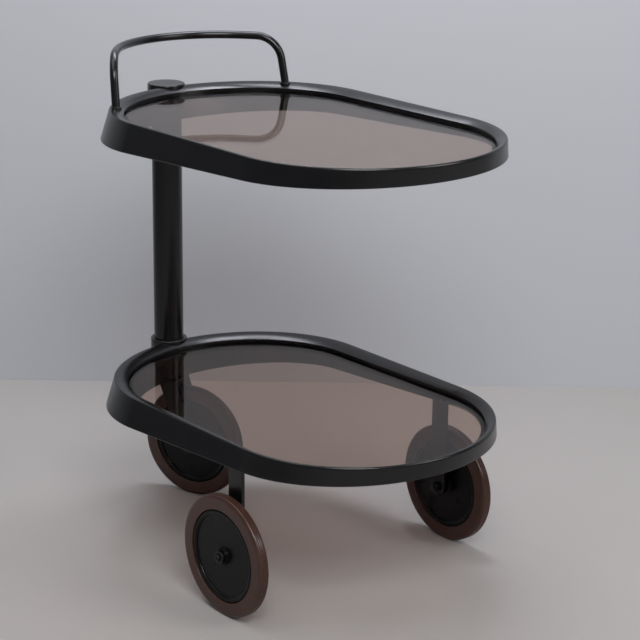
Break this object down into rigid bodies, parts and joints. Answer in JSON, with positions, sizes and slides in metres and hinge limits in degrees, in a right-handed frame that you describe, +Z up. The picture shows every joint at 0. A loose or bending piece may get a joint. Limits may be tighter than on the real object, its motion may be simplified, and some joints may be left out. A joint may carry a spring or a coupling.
{
  "type": "bar cart",
  "caption": "Two-tier bar cart with oval smoked-glass trays in black frames on a single post, a bent tube handle, fixed front wheels and a swivelling rear wheel.",
  "frame": {"origin": "on the floor, under the middle of the cart's length and width at rest", "axes": "+X from the handle end to the front, +Y to the left of someone pushing the cart, +Z up"},
  "size_m": [0.6966, 0.4688, 0.7491],
  "materials": {
    "black_metal": "satin black powder coat",
    "smoked_glass": "polished, clear grey-brown tint",
    "seal_rubber": "matte",
    "wheel_disc": "satin black",
    "tyre_rubber": "brown rubber with a soft sheen",
    "nylon": "matte",
    "dark_steel": "black zinc plated steel"
  },
  "bodies": {
    "cart": {"upper_frame": "black_metal", "lower_frame": "black_metal", "upper_glass": "smoked_glass", "lower_glass": "smoked_glass", "upper_seal": "seal_rubber", "lower_seal": "seal_rubber", "post_tube": "black_metal", "post_top_plug": "dark_steel", "post_top_bolt": "dark_steel", "post_bottom_plug": "dark_steel", "collar_screws": "dark_steel", "handle_tube": "black_metal", "handle_screws": "dark_steel", "leg_left": "black_metal", "leg_right": "black_metal", "leg_screws": "dark_steel", "front_axles": "dark_steel", "axle_spacers": "dark_steel", "axle_washers": "dark_steel", "axle_cap_nuts": "dark_steel", "axle_lock_nuts": "dark_steel", "swivel_pin": "dark_steel"},
    "caster": {"caster_fork": "black_metal", "rear_axle": "dark_steel", "rear_spacers": "dark_steel", "rear_nuts": "dark_steel", "swivel_washer": "nylon"},
    "rear_wheel": {"rear_disc": "wheel_disc", "rear_bush": "nylon", "rear_tyre": "tyre_rubber"},
    "front_left_wheel": {"front_left_disc": "wheel_disc", "front_left_bush": "nylon", "front_left_tyre": "tyre_rubber"},
    "front_right_wheel": {"front_right_disc": "wheel_disc", "front_right_bush": "nylon", "front_right_tyre": "tyre_rubber"}
  },
  "joints": [
    {"name": "caster_swivel", "type": "hinge", "parent": "cart", "child": "caster", "pos_m": [-0.30718, 0, 0.19], "axis": [0, 0, 1], "continuous": true},
    {"name": "rear_wheel_spin", "type": "hinge", "parent": "caster", "child": "rear_wheel", "pos_m": [-0.26208, 0.01642, 0.09], "axis": [-0.342, 0.9397, 0], "continuous": true},
    {"name": "front_left_wheel_spin", "type": "hinge", "parent": "cart", "child": "front_left_wheel", "pos_m": [0.12382, 0.216, 0.09], "axis": [0, 1, 0], "continuous": true},
    {"name": "front_right_wheel_spin", "type": "hinge", "parent": "cart", "child": "front_right_wheel", "pos_m": [0.12382, -0.216, 0.09], "axis": [0, 1, 0], "continuous": true}
  ]
}
